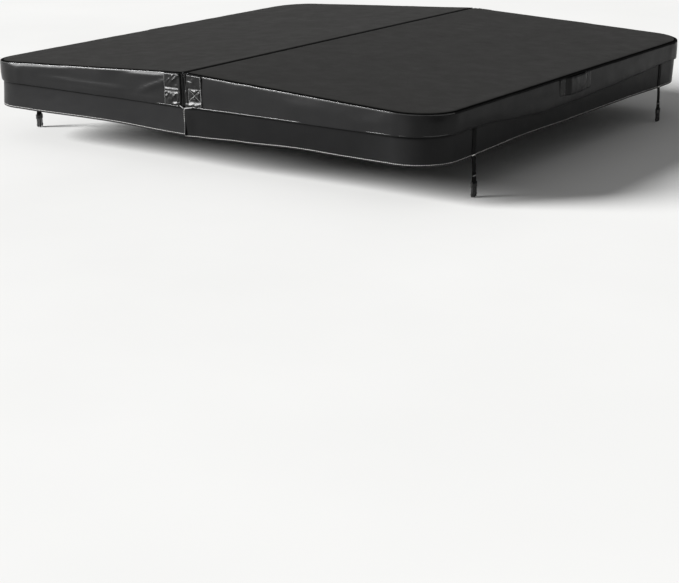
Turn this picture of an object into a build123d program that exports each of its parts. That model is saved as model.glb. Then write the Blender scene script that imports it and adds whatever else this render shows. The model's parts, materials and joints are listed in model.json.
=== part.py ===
"""Bifold spa cover: two tapered foam halves in sewn vinyl, folding about the ridge, with tie-down straps.

Frame: X runs across both halves, Y along the fold, Z up.  The origin is on the underside plane, which rests
on the tub's rim, at the middle of the fold.  Millimetres.
"""

import os

from build123d import *

os.makedirs("parts", exist_ok=True)

# ---- driving dimensions ----------------------------------------
cover_across = 2150.0  # X, over both halves
cover_along = 2060.0  # Y, length of the fold
fold_height = 127.0  # thickness at the fold
edge_height = 76.0  # thickness at the outer edges
corner_radius = 170.0  # outer corners in plan
fold_gap = 16.0  # between the two hinge walls

vinyl = 1.0  # sewn cover material
film = 0.6  # vapour wrap round the foam
core_fit = 2.0  # wrapped foam is this much smaller than its cover at the sides and top
foam_edge_radius = 16.0  # rounded outer edges of the wrapped foam
fold_end_chamfer = 7.0  # its upright corners at the ends of the fold
band_turn_in = 16.0  # side band's sewn edge under the half

channel_steel = 1.2
channel_flange = 25.0
channel_end_gap = 18.0  # channel stops short of the foam's ends

skirt_drop = 102.0
skirt_vinyl = 1.2
skirt_inset = 9.0  # skirt hangs this far inside the band's face
skirt_split = 2.0  # slit between the two skirts at the fold

zip_width = 8.0
zip_end_clearance = 20.0  # zip starts this far inside the end gusset
zip_above_seal = 4.0  # pull hangs this far over the steam seal
zip_coil_proud = 0.6
slider_length = 14.0
slider_height = 11.0
slider_depth = 4.0
slider_clearance = 0.3
pull_length = 22.0
pull_width = 7.0
pull_thickness = 1.4

seal_height = 60.0
seal_base = 6.0
seal_clearance = 0.6  # to the other half's hinge wall
seal_sleeve = 0.8
seal_corner_radius = 6.0
seal_end_clearance = 30.0  # seal starts this far inside the end gusset

web_thickness = 1.5
web_below_top = 1.0
fold_fit_gap = 0.4  # hinge web and gussets stop this far from each half

patch_width = 90.0
patch_thickness = 1.5
patch_margin = 3.0
gusset_depth = 70.0
gusset_thickness = 1.0
gusset_margin = 4.0

grommet_radius = 12.0
grommet_hole_radius = 5.0
grommet_from_edge = 230.0
grommet_from_end = 380.0

handle_length = 250.0
handle_below_top = 5.0
handle_sewn_end = 38.0
handle_rise_run = 26.0
handle_thickness = 2.4
handle_finger_gap = 13.0
handle_offset = 35.0  # handle's middle from the middle of its side
handle_above_base = 5.0

webbing_width = 25.0
webbing_thickness = 1.6
strap_from_end = 278.0  # from the end face to the middle of a strap
tail_axis_drop = 1.6  # hem to the axis the tail swings on
tail_axis_clearance = 0.6  # axis to the tail's upper end
tail_length = 92.0  # hem to the middle of the clip's bar
tail_doubled = 30.0  # sewn-back end of the webbing

bar_radius = 2.3
bar_loop_clearance = 0.5
clip_side_clearance = 1.0  # webbing to each cheek
clip_thickness = 7.0
clip_cheek = 3.0
clip_body_height = 11.0
clip_prong_length = 36.0
clip_guide_width = 7.0
clip_arm_width = 3.6
clip_barb = 3.0
clip_barb_length = 13.0
clip_fillet = 1.0

# ---- dependent sizes ----------------------------------------
REAR, FRONT = -1, 1
half_across = cover_across / 2
half_along = cover_along / 2
hinge_face = fold_gap / 2
wrap_inset = vinyl + core_fit
core_inset = wrap_inset + film
core_bottom = vinyl + film
taper = (fold_height - edge_height) / half_across
far = 2 * cover_across  # longer than anything, for cutting

zip_end_margin = gusset_depth + zip_end_clearance
seal_end_margin = gusset_depth + seal_end_clearance
seal_top = seal_base + seal_height
zip_centre_height = seal_top + zip_above_seal + pull_length
grommet_spacing = cover_along - 2 * grommet_from_end
handle_height = edge_height - handle_above_base - handle_below_top
strap_spacing = cover_along - 2 * strap_from_end

skirt_face = half_across - skirt_inset
strap_plane = skirt_face + webbing_thickness / 2
tail_top = -skirt_drop - tail_axis_drop - tail_axis_clearance
bar_height = -skirt_drop - tail_length
loop_inner = bar_radius + bar_loop_clearance
loop_outer = loop_inner + webbing_thickness
clip_body_top = bar_height - loop_outer - bar_loop_clearance
clip_width = webbing_width + 2 * (clip_cheek + clip_side_clearance)


def save(part, name):
    """Label a finished piece and write it as one STEP file."""
    part.label = name
    export_step(part, f"parts/{name}.step")


def top_height(x):
    """Height of the outer top surface at a distance x from the fold."""
    return fold_height - taper * abs(x)


def plan_outline(side, inset, inner_x):
    """Plan of one half, its outer edges moved in by inset and its two outer corners rounded."""
    outer_x = half_across - inset
    with BuildSketch(Plane.XY) as plan:
        with Locations((side * (inner_x + outer_x) / 2, 0)):
            Rectangle(outer_x - inner_x, cover_along - 2 * inset)
        outward = Axis.X if side > 0 else -Axis.X
        fillet(plan.vertices().sort_by(outward)[-2:], corner_radius - inset)
    return plan.sketch


def slope_profile(side, inner_x, outer_x, top_inset, bottom):
    """Cross-section of one half, from the height bottom to top_inset under its sloping top."""
    with BuildSketch(Plane.XZ) as profile:
        Polygon(
            (side * inner_x, bottom),
            (side * outer_x, bottom),
            (side * outer_x, top_height(outer_x) - top_inset),
            (side * inner_x, top_height(inner_x) - top_inset),
            align=None,
        )
    return profile.sketch


def tapered_block(side, inset, bottom, edge_radius):
    """One half as a solid tapered block inside its cover, its outer edges rounded."""
    inner_x = hinge_face + inset
    outward = Axis.X if side > 0 else -Axis.X
    with BuildPart() as block:
        extrude(slope_profile(side, inner_x, half_across - inset, inset, bottom), amount=far, both=True)
        extrude(plan_outline(side, inset, inner_x), amount=far, both=True, mode=Mode.INTERSECT)
        fold_end_edges = block.edges().filter_by(Axis.Z).sort_by(outward)[:2]
        chamfer(fold_end_edges, fold_end_chamfer)
        top_edges = block.faces().sort_by(Axis.Z)[-1].edges().sort_by(outward)[3:]
        bottom_edges = block.faces().sort_by(Axis.Z)[0].edges().sort_by(outward)[3:]
        fillet(top_edges + bottom_edges, edge_radius)
    return block.part


# ---- inside each half ----------------------------------------
def make_hinge_channel(side):
    """Steel channel that stiffens the foam's hinge edge."""
    web_x = hinge_face + core_inset
    flange_x = web_x + channel_flange
    with BuildPart() as channel:
        extrude(slope_profile(side, web_x, flange_x, core_inset, core_bottom), amount=far, both=True)
        hollow_x = web_x + channel_steel
        hollow_top = core_inset + channel_steel
        hollow_bottom = core_bottom + channel_steel
        hollow = slope_profile(side, hollow_x, flange_x + channel_steel, hollow_top, hollow_bottom)
        extrude(hollow, amount=far, both=True, mode=Mode.SUBTRACT)
        with BuildSketch(Plane.XY):
            Rectangle(far, cover_along - 2 * (core_inset + channel_end_gap))
        extrude(amount=far, both=True, mode=Mode.INTERSECT)
    return channel.part


def make_foam_core(side, channel):
    """Tapered foam, rebated for the steel channel."""
    with BuildPart() as core:
        add(tapered_block(side, core_inset, core_bottom, foam_edge_radius - film))
        add(channel, mode=Mode.SUBTRACT)
    return core.part


def make_vapour_wrap(side):
    """Heat-sealed film round the foam and its channel."""
    with BuildPart() as wrap:
        add(tapered_block(side, wrap_inset, vinyl, foam_edge_radius))
        add(tapered_block(side, core_inset, core_bottom, foam_edge_radius - film), mode=Mode.SUBTRACT)
    return wrap.part


# ---- sewn cover of each half ----------------------------------------
def make_top_skin(side):
    """Top panel, set inside the side band."""
    with BuildPart() as skin:
        inner_x, outer_x = hinge_face, half_across
        with BuildSketch(Plane.XZ):
            Polygon(
                (side * inner_x, top_height(inner_x)),
                (side * outer_x, top_height(outer_x)),
                (side * outer_x, top_height(outer_x) - vinyl),
                (side * inner_x, top_height(inner_x) - vinyl),
                align=None,
            )
        extrude(amount=far, both=True)
        extrude(plan_outline(side, vinyl, hinge_face), amount=far, both=True, mode=Mode.INTERSECT)
    return skin.part


def make_side_band(side):
    """Side band round the three outer sides, with its lower edge turned in under the half."""
    with BuildPart() as band:
        extrude(slope_profile(side, hinge_face, half_across, 0, 0), amount=far, both=True)
        extrude(plan_outline(side, 0, hinge_face), amount=far, both=True, mode=Mode.INTERSECT)
        with BuildSketch(Plane.XY.offset(vinyl)):
            add(plan_outline(side, vinyl, 0))
        extrude(amount=far, mode=Mode.SUBTRACT)
        extrude(plan_outline(side, band_turn_in, 0), amount=vinyl, mode=Mode.SUBTRACT)
    return band.part


def grommet_places(side):
    """Places of the two drain grommets of one half."""
    x = side * (half_across - grommet_from_edge)
    return [(x, -grommet_spacing / 2), (x, grommet_spacing / 2)]


def make_underside_skin(side):
    """Underside panel, which rests on the tub's rim."""
    with BuildPart() as skin:
        extrude(plan_outline(side, band_turn_in, hinge_face), amount=vinyl)
        with BuildSketch(Plane.XY):
            with Locations(*grommet_places(side)):
                Circle(grommet_radius)
        extrude(amount=vinyl, mode=Mode.SUBTRACT)
    return skin.part


def make_drain_grommets(side):
    """Two drain grommets, flush in the underside."""
    with BuildPart() as grommets:
        with BuildSketch(Plane.XY):
            with Locations(*grommet_places(side)):
                Circle(grommet_radius)
                Circle(grommet_hole_radius, mode=Mode.SUBTRACT)
        extrude(amount=vinyl)
    return grommets.part


def make_hinge_wall(side):
    """Wall on the fold side of the cover, slotted for the zip."""
    zip_length = cover_along - 2 * zip_end_margin
    with BuildPart() as wall:
        section = slope_profile(side, hinge_face, hinge_face + vinyl, vinyl, vinyl)
        extrude(section, amount=half_along - vinyl, both=True)
        with BuildSketch(Plane.YZ) as slot:
            with Locations((0, zip_centre_height)):
                Rectangle(zip_length, zip_width)
        extrude(slot.sketch, amount=far, both=True, mode=Mode.SUBTRACT)
    return wall.part


def make_zip_coil(side):
    """Closed zip in the hinge wall, its coil a little proud."""
    with BuildPart() as coil:
        with BuildSketch(Plane.YZ.offset(side * (hinge_face - zip_coil_proud))):
            with Locations((0, zip_centre_height)):
                Rectangle(cover_along - 2 * zip_end_margin, zip_width)
        extrude(amount=side * (vinyl + zip_coil_proud))
    return coil.part


def make_zip_slider(side):
    """Zip slider with its pull, parked at the left end of the zip."""
    face_x = side * (hinge_face - zip_coil_proud - slider_clearance)
    park_y = -half_along + zip_end_margin + slider_length
    with BuildPart() as slider:
        with BuildSketch(Plane.YZ.offset(face_x)):
            with Locations((park_y, zip_centre_height)):
                RectangleRounded(slider_length, slider_height, slider_height / 4)
        extrude(amount=-side * slider_depth)
        with BuildSketch(Plane.YZ.offset(face_x - side * (slider_depth - pull_thickness))):
            with Locations((park_y, zip_centre_height - pull_length / 2)):
                RectangleRounded(pull_width, pull_length, pull_width / 3)
        extrude(amount=-side * pull_thickness)
    return slider.part


# ---- skirt, patches, handle ----------------------------------------
def make_skirt(side):
    """Skirt that hangs from the band outside the tub's lip."""
    with BuildPart() as skirt:
        extrude(plan_outline(side, skirt_inset, skirt_split / 2), amount=-skirt_drop)
        extrude(plan_outline(side, skirt_inset + skirt_vinyl, 0), amount=-skirt_drop, mode=Mode.SUBTRACT)
    return skirt.part


def make_end_patches(side):
    """Reinforcing patches sewn on the two end faces beside the fold."""
    with BuildPart() as patches:
        patch = slope_profile(side, hinge_face, patch_width, patch_margin, patch_margin)
        extrude(patch, amount=half_along + patch_thickness, both=True)
        with BuildSketch(Plane.XY):
            Rectangle(far, cover_along)
        extrude(amount=far, both=True, mode=Mode.SUBTRACT)
    return patches.part


def make_lift_handle(side):
    """Flat handle, sewn at both ends, its middle standing off for the fingers."""
    sewn = handle_length / 2
    free = sewn - handle_sewn_end
    raised = free - handle_rise_run
    middle = side * handle_offset * -1
    on_band = side * half_across
    standing = side * (half_across + handle_finger_gap)
    thick = side * handle_thickness
    with BuildPart() as handle:
        with BuildSketch(Plane.XY.offset(handle_above_base)):
            Polygon(
                (on_band, middle - sewn),
                (on_band, middle - free),
                (standing, middle - raised),
                (standing, middle + raised),
                (on_band, middle + free),
                (on_band, middle + sewn),
                (on_band + thick, middle + sewn),
                (on_band + thick, middle + free),
                (standing + thick, middle + raised),
                (standing + thick, middle - raised),
                (on_band + thick, middle - free),
                (on_band + thick, middle - sewn),
                align=None,
            )
        extrude(amount=handle_height)
    return handle.part


# ---- at the fold ----------------------------------------
def make_fold_hinge_web():
    """Vinyl strip across the top of the fold, sewn between the two top panels."""
    half_width = hinge_face - fold_fit_gap
    web_top = fold_height - web_below_top
    with BuildPart() as web:
        with BuildSketch(Plane.XY.offset(web_top - web_thickness)):
            Rectangle(2 * half_width, cover_along - 2 * vinyl)
        extrude(amount=web_thickness)
    return web.part


def seal_section(shrink):
    """Rounded section of the steam-seal pad, made smaller all round by shrink."""
    width = fold_gap - seal_clearance
    with BuildSketch(Plane.XZ) as section:
        with Locations((-seal_clearance / 2, seal_base + seal_height / 2)):
            RectangleRounded(width - 2 * shrink, seal_height - 2 * shrink, seal_corner_radius - shrink)
    return section.sketch


def make_steam_seal_sleeve():
    """Vinyl sleeve of the steam-seal pad, sewn to the rear half."""
    with BuildPart() as sleeve:
        extrude(seal_section(0), amount=half_along - seal_end_margin, both=True)
        extrude(seal_section(seal_sleeve), amount=half_along - seal_end_margin, both=True, mode=Mode.SUBTRACT)
    return sleeve.part


def make_steam_seal_foam():
    """Soft foam strip inside the steam-seal sleeve."""
    with BuildPart() as foam:
        extrude(seal_section(seal_sleeve), amount=half_along - seal_end_margin, both=True)
    return foam.part


def make_end_gusset(end):
    """Pleated gusset that closes one end of the fold, tucked between the two halves."""
    mouth_y = end * half_along
    fold_y = end * (half_along - gusset_depth)
    mouth_x = hinge_face - fold_fit_gap
    with BuildPart() as gusset:
        with BuildSketch(Plane.XY.offset(gusset_margin)):
            Polygon(
                (-mouth_x, mouth_y),
                (-gusset_thickness / 2, fold_y),
                (gusset_thickness / 2, fold_y),
                (mouth_x, mouth_y),
                (mouth_x - gusset_thickness, mouth_y),
                (0, fold_y + end * 2 * gusset_thickness),
                (gusset_thickness - mouth_x, mouth_y),
                align=None,
            )
        extrude(amount=fold_height - 2 * gusset_margin)
    return gusset.part


# ---- tie-down straps ----------------------------------------
def make_strap_tops(side):
    """Upper lengths of both straps of one half, sewn from the band's seam to the skirt's hem."""
    with BuildPart() as straps:
        with BuildSketch(Plane.YZ.offset(side * skirt_face)):
            with Locations((-strap_spacing / 2, -skirt_drop / 2), (strap_spacing / 2, -skirt_drop / 2)):
                Rectangle(webbing_width, skirt_drop)
        extrude(amount=side * webbing_thickness)
    return straps.part


def make_strap_tail(side, end):
    """Free tail of one strap, folded back round the clip's bar."""
    centre_x = side * strap_plane
    loop_top = bar_height + loop_inner + webbing_thickness / 2
    strap_y = end * strap_spacing / 2
    with BuildPart() as tail:
        with BuildSketch(Plane.XZ.offset(-strap_y)):
            with Locations((centre_x, (tail_top + loop_top) / 2)):
                Rectangle(webbing_thickness, tail_top - loop_top)
            with Locations((centre_x, loop_top + tail_doubled / 2)):
                Rectangle(2 * webbing_thickness, tail_doubled)
            with Locations((centre_x, bar_height)):
                Circle(loop_outer)
                Circle(loop_inner, mode=Mode.SUBTRACT)
        extrude(amount=webbing_width / 2, both=True)
    return tail.part


def make_clip(side, end):
    """Male clip of one strap: a bar for the webbing, a body, a guide and two barbed arms."""
    strap_y = end * strap_spacing / 2
    body_bottom = clip_body_top - clip_body_height
    prong_bottom = body_bottom - clip_prong_length
    barb_top = prong_bottom + clip_barb_length
    arm_outer = clip_width / 2 - clip_barb
    cheek_y = (clip_width - clip_cheek) / 2
    cheek_middle = (bar_height + bar_radius + clip_body_top) / 2
    cheek_height = bar_height + bar_radius - clip_body_top
    plane = Plane(origin=(side * strap_plane, strap_y, 0), x_dir=(0, 1, 0), z_dir=(1, 0, 0))
    with BuildPart() as clip:
        with BuildSketch(plane) as outline:
            with Locations((0, (clip_body_top + body_bottom) / 2)):
                Rectangle(clip_width, clip_body_height)
            with Locations((-cheek_y, cheek_middle), (cheek_y, cheek_middle)):
                Rectangle(clip_cheek, cheek_height)
            with Locations((0, (body_bottom + prong_bottom) / 2)):
                Rectangle(clip_guide_width, clip_prong_length)
            for arm_side in (-1, 1):
                Polygon(
                    (arm_side * arm_outer, body_bottom),
                    (arm_side * arm_outer, barb_top),
                    (arm_side * (arm_outer + clip_barb), barb_top),
                    (arm_side * (arm_outer - clip_arm_width / 2), prong_bottom),
                    (arm_side * (arm_outer - clip_arm_width), prong_bottom + clip_arm_width / 2),
                    (arm_side * (arm_outer - clip_arm_width), body_bottom),
                    align=None,
                )
        extrude(amount=clip_thickness / 2, both=True)
        fillet(clip.edges().filter_by(Axis.X).group_by(Axis.Z)[0], clip_fillet)
        with BuildSketch(Plane.XZ.offset(-strap_y)):
            with Locations((side * strap_plane, bar_height)):
                Circle(bar_radius)
        extrude(amount=clip_width / 2 - clip_cheek / 2, both=True)
    return clip.part


# ---- write every piece ----------------------------------------
for half, side in (("rear", REAR), ("front", FRONT)):
    hinge_channel = make_hinge_channel(side)
    save(hinge_channel, f"{half}_hinge_channel")
    save(make_foam_core(side, hinge_channel), f"{half}_foam_core")
    save(make_vapour_wrap(side), f"{half}_vapour_wrap")
    save(make_top_skin(side), f"{half}_top_skin")
    save(make_side_band(side), f"{half}_side_band")
    save(make_underside_skin(side), f"{half}_underside_skin")
    save(make_drain_grommets(side), f"{half}_drain_grommets")
    save(make_hinge_wall(side), f"{half}_hinge_wall")
    save(make_zip_coil(side), f"{half}_zip_coil")
    save(make_zip_slider(side), f"{half}_zip_slider")
    save(make_skirt(side), f"{half}_skirt")
    save(make_end_patches(side), f"{half}_end_patches")
    save(make_lift_handle(side), f"{half}_lift_handle")
    save(make_strap_tops(side), f"{half}_strap_tops")
    for end_name, end in (("left", -1), ("right", 1)):
        save(make_strap_tail(side, end), f"{half}_{end_name}_strap_tail")
        save(make_clip(side, end), f"{half}_{end_name}_clip")

save(make_fold_hinge_web(), "fold_hinge_web")
save(make_steam_seal_sleeve(), "steam_seal_sleeve")
save(make_steam_seal_foam(), "steam_seal_foam")
save(make_end_gusset(-1), "left_end_gusset")
save(make_end_gusset(1), "right_end_gusset")
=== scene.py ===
"""Folding spa cover: sewn vinyl, skirts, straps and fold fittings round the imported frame. Metres."""
import json
import math

import bmesh
import bpy
from mathutils import Matrix, Vector, noise


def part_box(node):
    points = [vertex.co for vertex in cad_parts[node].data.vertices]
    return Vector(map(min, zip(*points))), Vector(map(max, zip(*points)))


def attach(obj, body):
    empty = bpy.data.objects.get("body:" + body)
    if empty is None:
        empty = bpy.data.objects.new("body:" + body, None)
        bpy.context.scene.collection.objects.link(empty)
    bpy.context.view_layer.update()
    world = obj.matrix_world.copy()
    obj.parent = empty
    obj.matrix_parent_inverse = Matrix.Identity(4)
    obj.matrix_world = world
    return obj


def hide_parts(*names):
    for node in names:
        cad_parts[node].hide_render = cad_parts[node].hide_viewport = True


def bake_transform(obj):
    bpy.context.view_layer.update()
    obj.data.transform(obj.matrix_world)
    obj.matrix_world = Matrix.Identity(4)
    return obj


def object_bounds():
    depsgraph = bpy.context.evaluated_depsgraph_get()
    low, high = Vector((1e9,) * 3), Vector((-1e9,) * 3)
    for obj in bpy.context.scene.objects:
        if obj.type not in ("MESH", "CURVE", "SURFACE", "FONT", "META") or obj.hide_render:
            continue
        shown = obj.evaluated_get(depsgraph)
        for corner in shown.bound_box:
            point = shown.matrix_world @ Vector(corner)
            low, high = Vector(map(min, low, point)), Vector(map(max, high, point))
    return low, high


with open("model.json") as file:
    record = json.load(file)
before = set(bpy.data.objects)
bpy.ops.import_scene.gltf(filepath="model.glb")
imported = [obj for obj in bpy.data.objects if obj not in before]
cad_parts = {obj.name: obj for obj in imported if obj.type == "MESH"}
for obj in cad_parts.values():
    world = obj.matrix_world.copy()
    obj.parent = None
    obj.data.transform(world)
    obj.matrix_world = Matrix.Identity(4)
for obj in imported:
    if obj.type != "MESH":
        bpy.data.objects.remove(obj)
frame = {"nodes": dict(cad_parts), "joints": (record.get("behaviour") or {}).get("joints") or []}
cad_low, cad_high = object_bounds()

MM = 0.001
SIDES = {"rear": -1, "front": 1}
ENDS = {"left": -1, "right": 1}
SEED = {"rear": 2.0, "front": 1.0}  # for the noise in each half's vinyl

# ---- sizes taken from the frame ----
joints = {joint["name"]: joint for joint in frame["joints"]}
band_low, band_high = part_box("front_side_band")
skirt_low, skirt_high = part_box("front_skirt")
handle_low, handle_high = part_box("front_lift_handle")
patch_low, patch_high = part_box("front_end_patches")
seal_low, seal_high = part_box("steam_seal_sleeve")
zip_low, zip_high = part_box("front_zip_coil")
straps_low, straps_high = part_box("front_strap_tops")
grommets_low, grommets_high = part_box("front_drain_grommets")
gusset_low, gusset_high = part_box("left_end_gusset")

HINGE_FACE = band_low.x
HALF_ACROSS = band_high.x
HALF_ALONG = band_high.y
FOLD_HEIGHT = joints["fold"]["pos_m"][2]
SKIRT_DROP = -skirt_low.z
SKIRT_INSET = HALF_ACROSS - skirt_high.x
SKIRT_SPLIT = skirt_low.x

# ---- sizes of the sewing ----
EDGE_HEIGHT = 76 * MM
CORNER = 170 * MM
TAPER = (FOLD_HEIGHT - EDGE_HEIGHT) / HALF_ACROSS
BEND_X, BEND_Y = HALF_ACROSS - CORNER, HALF_ALONG - CORNER  # centre of a corner's bend
LEFT_END = -BEND_Y  # the left end face and its corners lie below this y
MIDDLE = Vector((HALF_ACROSS / 2, 0, EDGE_HEIGHT / 2))  # inside the front half
# Painted shade: above this y the seam ridges and the band's top edge get a darker copy of their vinyl with no gloss,
# on the sides facing away from the light.
SHADED_SIDES_FROM = -HALF_ALONG + CORNER * 0.8  # the seam loses its gloss above this y
VINYL = 1.0 * MM
HEAVY_VINYL = 1.2 * MM
SEAM_INSET = 5.5 * MM  # seam between top panel and band, in from the outer face
SEAM_DEPTH = 5.2 * MM
SEAM_SLOPE = 8.0 * MM  # width of the top panel's fall into its seam
# The strips beside the seam are painted: painted shadow on the top panel, a glossless painted-shade copy on the band.
SEAM_WIDTH = 9 * MM  # width of the dark strip on each side of the seam
SEAM_REACH = 30 * MM  # how far in from the seam its rise and fall is felt
END_ROLL = 14.0 * MM  # radius of the band's turn into the fold
FOLD_ROLL = 7.0 * MM  # radius of a top panel's edge at the fold
UNDER_ROLL = 3.0 * MM
TURN_IN = 16.0 * MM  # band's lower edge under the half
FACE_END = 7 * MM  # height of the band's face above its lower fold
HEM_THREAD = 6 * MM  # height of the hem's thread above the edge
PATCH_GAP = 3 * MM  # between a patch and the top seam
ZIP_PITCH = 3.2 * MM
THREAD = 1.0 * MM
STITCH = 6.0 * MM
STITCH_GAP = 2.2 * MM


# ---- small maths ----
def smooth(low, high, value):
    """0 at low, 1 at high, easing between them."""
    t = min(1.0, max(0.0, (value - low) / (high - low)))
    return t * t * (3 - 2 * t)


def wave(x, y, z, size, seed=0.0):
    """Smooth noise from -1 to 1 with features about size metres long."""
    return noise.noise(Vector((x / size + seed * 7.13, y / size - seed * 3.7, z / size + seed)))


def through(stations, value):
    """Smooth curve through (position, amount) pairs."""
    if value <= stations[0][0]:
        return stations[0][1]
    for (start, low), (end, high) in zip(stations, stations[1:]):
        if value <= end:
            return low + (high - low) * smooth(start, end, value)
    return stations[-1][1]


def steps(start, end, size):
    """Evenly spaced positions about size apart, both ends among them."""
    count = max(1, math.ceil(abs(end - start) / size))
    return [start + (end - start) * i / count for i in range(count + 1)]


def joined(*runs):
    """Runs of positions one after another, each shared end once."""
    line = list(runs[0])
    for run in runs[1:]:
        line += run[1:]
    return line


def mirrored(line, total=0.0):
    """Positions as far from total as those of a line are from 0, in rising order."""
    return [total - position for position in reversed(line)]


def graded(start, end, size, fine, reach):
    """Positions size apart, closer together within reach of both ends."""
    edge = [0.0]
    while edge[-1] < reach:
        edge.append(edge[-1] + fine + (size - fine) * edge[-1] / reach)
    sign = 1 if end > start else -1
    low = [start + sign * e for e in edge]
    high = [end - sign * e for e in reversed(edge)]
    return joined(low, steps(low[-1], high[0], size), high)


def top_height(x):
    """Height of the flat top at a distance from the fold."""
    return FOLD_HEIGHT - TAPER * abs(x)


def crease(x, y, start, end, width, height):
    """Height of one fold line from start to end, fading at both ends."""
    dx, dy = end[0] - start[0], end[1] - start[1]
    length = math.hypot(dx, dy)
    along = ((x - start[0]) * dx + (y - start[1]) * dy) / length
    across = ((x - start[0]) * dy - (y - start[1]) * dx) / length
    fade = smooth(-0.15, 0.25, along / length) * (1 - smooth(0.7, 1.1, along / length))
    return height * fade * math.exp(-((across / width) ** 2))


# ---- meshes ----
def grid(columns, rows, place, bm=None):
    """A grid of quads whose corners go to place(column, row), in a mesh of its own or a given one."""
    bm = bm or bmesh.new()
    made = bmesh.ops.create_grid(bm, x_segments=len(columns) - 1, y_segments=len(rows) - 1, size=0.5)
    for vert in made["verts"]:
        column = columns[round((vert.co.x + 0.5) * (len(columns) - 1))]
        row = rows[round((vert.co.y + 0.5) * (len(rows) - 1))]
        vert.co = place(column, row)
    return bm


def across_the_fold(bm, half):
    """Mirror a piece drawn for the front half when it belongs to the rear half."""
    if half == "rear":
        bmesh.ops.scale(bm, vec=(-1, 1, 1), verts=bm.verts)
        bmesh.ops.reverse_faces(bm, faces=bm.faces)


def face_away(bm, centre):
    """Turn an open sheet so that its faces point away from centre."""
    bm.normal_update()
    outward = sum((f.calc_center_median() - centre).dot(f.normal) * f.calc_area() for f in bm.faces)
    if outward < 0:
        bmesh.ops.reverse_faces(bm, faces=bm.faces)


def piece(bm, name, finish, thickness=0.0, offset=-1):
    """A finished object from a bmesh, given a thickness inwards where it is a sheet."""
    mesh = bpy.data.meshes.new(name)
    bm.to_mesh(mesh)
    bm.free()
    mesh.shade_smooth()
    mesh.materials.append(FINISH[finish])
    obj = bpy.data.objects.new(name, mesh)
    bpy.context.scene.collection.objects.link(obj)
    if thickness:
        solid = obj.modifiers.new("thickness", "SOLIDIFY")
        solid.thickness = thickness
        solid.offset = offset
    return obj


def shaded(obj, half, amount):
    """Mark how much painted shade each point of a piece gets, 0 none and 1 darkest: painted shadow in seams, beside
    patches and under laps, and painted darkening of whole stretches.
    """
    values = [amount(SIDES[half] * v.co.x, v.co.y, v.co.z) for v in obj.data.vertices]
    layer = obj.data.attributes.new("shade", "FLOAT", "POINT")
    layer.data.foreach_set("value", values)


def second_finish(obj, half, finish, chosen):
    """Give the faces of a piece that chosen(x, y, z) picks out another finish."""
    obj.data.materials.append(FINISH[finish])
    for face in obj.data.polygons:
        if chosen(SIDES[half] * face.center.x, face.center.y, face.center.z):
            face.material_index = 1


def recalculated(bm):
    """Merge doubles, then point every face of a closed mesh outwards."""
    bmesh.ops.remove_doubles(bm, verts=bm.verts, dist=1e-6)
    bmesh.ops.recalc_face_normals(bm, faces=bm.faces)


def round_edges(bm, edges, width, segments=2, clamp=False):
    bmesh.ops.bevel(bm, geom=edges, offset=width, affect="EDGES", segments=segments, profile=0.5, material=-1,
                    clamp_overlap=clamp)


def add_bead(bm, where, size):
    """A small bead with these half sizes: one stitch, or one turn of a zip."""
    bmesh.ops.create_icosphere(bm, subdivisions=1, radius=1, matrix=where @ Matrix.Diagonal((*size, 1)))


# ---- materials ----
class Finish:
    """A material in the making, its patterns on Object coordinates."""

    def __init__(self, name):
        self.material = bpy.data.materials.new(name)
        self.material.use_nodes = True
        self.tree = self.material.node_tree
        self.where = self.add("TexCoord", {}).outputs["Object"]

    def feed(self, node, inputs):
        """Give each input a constant or another node's output."""
        for socket, value in inputs.items():
            if isinstance(value, bpy.types.NodeSocket):
                self.tree.links.new(value, node.inputs[socket])
            else:
                node.inputs[socket].default_value = value

    def add(self, kind, inputs, **settings):
        node = self.tree.nodes.new("ShaderNode" + kind)
        for name, value in settings.items():
            setattr(node, name, value)
        self.feed(node, inputs)
        return node

    def pattern(self, kind, scale, inputs={}, **settings):
        return self.add("Tex" + kind, {"Vector": self.where, "Scale": scale, **inputs}, **settings).outputs

    def cloud(self, scale, detail=3.0, rough=0.5):
        return self.pattern("Noise", scale, {"Detail": detail, "Roughness": rough})["Fac"]

    def spread(self, value, low, high, start=0.3, end=0.7):
        """Spread a 0 to 1 pattern over low to high."""
        inputs = {"Value": value, "From Min": start, "From Max": end, "To Min": low, "To Max": high}
        return self.add("MapRange", inputs).outputs["Result"]

    def ramp(self, value, dark, light, start=0.3, end=0.7):
        """Colour from dark to light as a pattern goes from start to end."""
        node = self.add("ValToRGB", {"Fac": value})
        for stop, position, colour in zip(node.color_ramp.elements, (start, end), (dark, light)):
            stop.position = position
            stop.color = (*colour, 1)
        return node.outputs["Color"]

    def bump(self, height, strength, distance, **below):
        inputs = {"Height": height, "Strength": strength, "Distance": distance, **below}
        return self.add("Bump", inputs).outputs["Normal"]

    def made(self, colour, rough, normal, others={}):
        """The material, with these inputs on its shader."""
        inputs = {"Base Color": colour, "Roughness": rough, "Normal": normal, **others}
        self.feed(self.tree.nodes["Principled BSDF"], inputs)
        return self.material


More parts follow.
